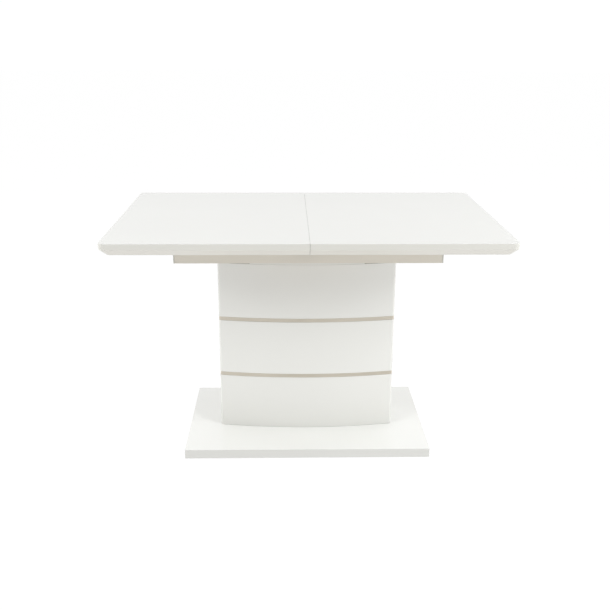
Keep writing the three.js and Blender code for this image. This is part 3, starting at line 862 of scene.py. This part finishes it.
BARREL_RADIUS = 5 * MM
BARREL_PLAY = 0.3 * MM
HINGE_PLATE_GAP = 0.15 * MM    # from each plate to the fold
HINGE_PLATE_EASING = 0.25 * MM
KNUCKLES = 5
KNUCKLE_GAP = 0.5 * MM
KNUCKLE_EASING = 0.4 * MM
PIN_RADIUS = 2.2 * MM
PIN_PLAY = 0.2 * MM
PIN_EASING = 0.5 * MM
HINGE_SCREW_RADIUS = 1.9 * MM
HINGE_SCREW_X = 13 * MM
HINGE_SCREW_Z = 7.6 * MM
UPRIGHT_TO_X = Matrix(((0, 0, 1), (1, 0, 0), (0, 1, 0))).to_4x4()


def hinge_knuckle(length):
    """One hollow knuckle, with its lower end at z = 0."""
    bore = BARREL_RADIUS - PIN_RADIUS - PIN_PLAY
    ease = KNUCKLE_EASING
    section = [(ease, 0), (0, ease), (0, length - ease), (ease, length), (bore, length), (bore, 0)]
    return ring_shape(lambda inset: circle_points((0, 0), BARREL_RADIUS - inset), section)


def hinge_pin(length):
    """A plain pin, with its lower end at z = 0."""
    ease = PIN_EASING
    end = PIN_RADIUS - ease
    vertices, faces, rim = turned([(end, 0), (PIN_RADIUS, ease), (PIN_RADIUS, length - ease), (end, length)])
    return vertices, [*faces, tuple(rim)]


def make_hinge_plates(side, low, high, front, fold):
    """A plate let into each leaf half, with a groove for the barrel."""
    depth = high.y - front
    height = high.z - fold
    groove = arc((0, 0), BARREL_RADIUS + BARREL_PLAY, 2, 90, 10)
    for half, mirror in (("lower", -1), ("upper", 1)):
        corners = [(0, height), (depth, height), (depth, HINGE_PLATE_GAP), *groove]
        outline = [(y, mirror * z) for y, z in corners]
        name = f"{side}_hinge_{half}_plate"
        mesh = prism(name, outline, low.x, high.x, HINGE_PLATE_EASING)
        mesh.transform(Matrix.Translation((0, front, fold)) @ UPRIGHT_TO_X)
        keep_flats_flat(make_object(name, mesh, STEEL, "stand"))


def make_fold_hinges():
    """Hinges along the stored leaf's fold: plates, knuckles, a pin and small screws."""
    for side in ("left", "right"):
        node = f"leaf_hinge_{side}"
        low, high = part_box(node)
        middle = (low.x + high.x) / 2
        fold = (low.z + high.z) / 2
        front = low.y + BARREL_RADIUS
        make_hinge_plates(side, low, high, front, fold)
        pitch = (high.x - low.x - 2 * PIN_EASING + KNUCKLE_GAP) / KNUCKLES
        starts = [low.x + PIN_EASING + step * pitch for step in range(KNUCKLES)]
        seats = [((x, front, fold), (1, 0, 0)) for x in starts]
        add_hardware(f"{side}_hinge_knuckles", hinge_knuckle(pitch - KNUCKLE_GAP), seats, "stand", [node])
        pin_seat = ((low.x, front, fold), (1, 0, 0))
        add_hardware(f"{side}_hinge_pin", hinge_pin(high.x - low.x), [pin_seat], "stand")
        seats = []
        for x in (middle - HINGE_SCREW_X, middle + HINGE_SCREW_X):
            for z in (fold - HINGE_SCREW_Z, fold + HINGE_SCREW_Z):
                seats.append(((x, front, z), (0, -1, 0)))
        add_hardware(f"{side}_hinge_screws", flush_head(HINGE_SCREW_RADIUS), seats, "stand")


make_bolts()
make_runner_screws()
make_channel_screws()
make_lock_screws()
make_lever_sleeves()
make_corner_blocks()
make_tray_cams()
make_glide_tapes()
make_fold_hinges()


# ---------- frame nodes that stay ----------

def soften(node, width):
    """Eased edges on a CAD piece whose shape is right."""
    weld = node.modifiers.new("weld", "WELD")
    weld.merge_threshold = 0.01 * MM
    bevel = node.modifiers.new("eased", "BEVEL")
    bevel.width = width
    bevel.segments = 2
    bevel.limit_method = "ANGLE"
    bevel.angle_limit = math.radians(40)
    bevel.harden_normals = True
    bevel.use_clamp_overlap = True


EDGE_WIDTHS = {
    "white_gloss": 0.8 * MM,
    "white_satin": 0.6 * MM,
    "zinc_steel": 0.3 * MM,
    "beech": 0.5 * MM,
    "raw_board": 0.2 * MM,
    "glide_plastic": 0.3 * MM,
}


def finish_nodes():
    """Materials and eased edges for every CAD node that no finer piece replaces."""
    slots = {row["node"]: row["material_slot"] for row in frame["record"]["subparts"]}
    for name, node in nodes.items():
        if node.hide_render:
            continue
        slot = slots[name]
        node.data.materials.clear()
        # The base plate takes the lighter copy of the white gloss: painted light.
        node.data.materials.append(BASE_PAINTED_LIGHT_AND_SHADE if name == "base_plate" else SLOT_MATERIALS[slot])
        soften(node, EDGE_WIDTHS[slot])


finish_nodes()


# ---------- floor and light ----------

WHITE = (1, 1, 1, 1)
BLACK = (0, 0, 0, 1)
FLOOR_GLOW = 0.97
FLOOR_GREY = 0.06
BACKDROP_BEHIND = 1.02
BACKDROP_FRONT = 0.72
LIGHT_BEHIND = 0.54
LIGHT_ABOVE = 0.42
STAGE_RADIUS = 28
TABLE_MIDDLE = Vector((0, 0, 0.4))
RIGHT_EDGE = Vector((0.5, -0.4, 0.6))
COOL_WHITE = (0.965, 0.99, 1.0)
SOFTBOX_SIZE = 1.6
SMALL_SOFTBOX_SIZE = 0.7


def make_floor():
    """A flat white floor that glows by itself, so that it stays even to the horizon."""
    m = Nodes("floor", Roughness=0.9, Specular_IOR_Level=0.0, Emission_Strength=FLOOR_GLOW)
    m.shader.inputs["Emission Color"].default_value = WHITE
    m.shader.inputs["Base Color"].default_value = (FLOOR_GREY, FLOOR_GREY, FLOOR_GREY, 1)
    bpy.ops.mesh.primitive_plane_add(size=2 * STAGE_RADIUS)
    floor = bpy.context.object
    floor.name = "floor"
    floor.data.materials.append(m.material)


def make_backdrop():
    """A dome round the set, white behind the table and light grey in front of it.

    It is seen, also in the gloss, but the world and the softboxes do the lighting.
    """
    m = Nodes("backdrop", Roughness=0.9, Specular_IOR_Level=0.0)
    m.shader.inputs["Emission Color"].default_value = WHITE
    m.shader.inputs["Base Color"].default_value = BLACK
    split = m.add("ShaderNodeSeparateXYZ")
    m.link(m.place(), split.inputs["Vector"])
    far, near = -0.9 * STAGE_RADIUS, -0.3 * STAGE_RADIUS
    glow = fade(m.tree, split.outputs["Y"], far, near, BACKDROP_FRONT, BACKDROP_BEHIND)
    m.link(glow, m.shader.inputs["Emission Strength"])
    bpy.ops.mesh.primitive_uv_sphere_add(radius=STAGE_RADIUS, segments=64, ring_count=32)
    dome = bpy.context.object
    dome.name = "backdrop"
    dome.data.materials.append(m.material)
    dome.visible_diffuse = False
    dome.visible_shadow = False


def area_light(name, place, power, size=SOFTBOX_SIZE, target=TABLE_MIDDLE):
    """A square softbox that faces its target and leaves no hard patch in the gloss."""
    data = bpy.data.lights.new(name, "AREA")
    data.shape = "SQUARE"
    data.size = size
    data.energy = power
    data.color = COOL_WHITE
    light = bpy.data.objects.new(name, data)
    light.location = place
    light.rotation_euler = (target - Vector(place)).to_track_quat("-Z", "Y").to_euler()
    light.visible_glossy = False
    bpy.context.scene.collection.objects.link(light)


def make_world():
    """Soft light from behind and above the table, none from in front of it."""
    world = bpy.data.worlds.new("studio")
    world.use_nodes = True
    tree = world.node_tree
    coords = tree.nodes.new("ShaderNodeTexCoord")
    split = tree.nodes.new("ShaderNodeSeparateXYZ")
    tree.links.new(coords.outputs["Generated"], split.inputs["Vector"])
    total = tree.nodes.new("ShaderNodeMath")
    total.operation = "ADD"
    tree.links.new(fade(tree, split.outputs["Y"], -0.1, 0.75, 0, LIGHT_BEHIND), total.inputs[0])
    tree.links.new(fade(tree, split.outputs["Z"], 0.2, 0.8, 0, LIGHT_ABOVE), total.inputs[1])
    tree.links.new(total.outputs[0], tree.nodes["Background"].inputs["Strength"])
    tree.nodes["Background"].inputs["Color"].default_value = WHITE
    bpy.context.scene.world = world


def make_light():
    """Softboxes in pairs round the table, and a small one close to its right edge."""
    make_world()
    area_light("softbox_front_left", (-2.6, -2.2, 2.8), 45)
    area_light("softbox_front_right", (2.6, -2.2, 2.8), 53)
    area_light("softbox_side_left", (-3.4, -1.0, 1.7), 45)
    area_light("softbox_side_right", (3.4, -1.0, 1.7), 46)
    area_light("softbox_rear_left", (-2.6, 2.2, 2.0), 12)
    area_light("softbox_rear_right", (2.6, 2.2, 2.0), 12)
    area_light("softbox_near_right", (1.75, -1.7, 0.85), 5.5, SMALL_SOFTBOX_SIZE, RIGHT_EDGE)
    bpy.context.scene.view_settings.view_transform = "Standard"


make_floor()
make_backdrop()
make_light()
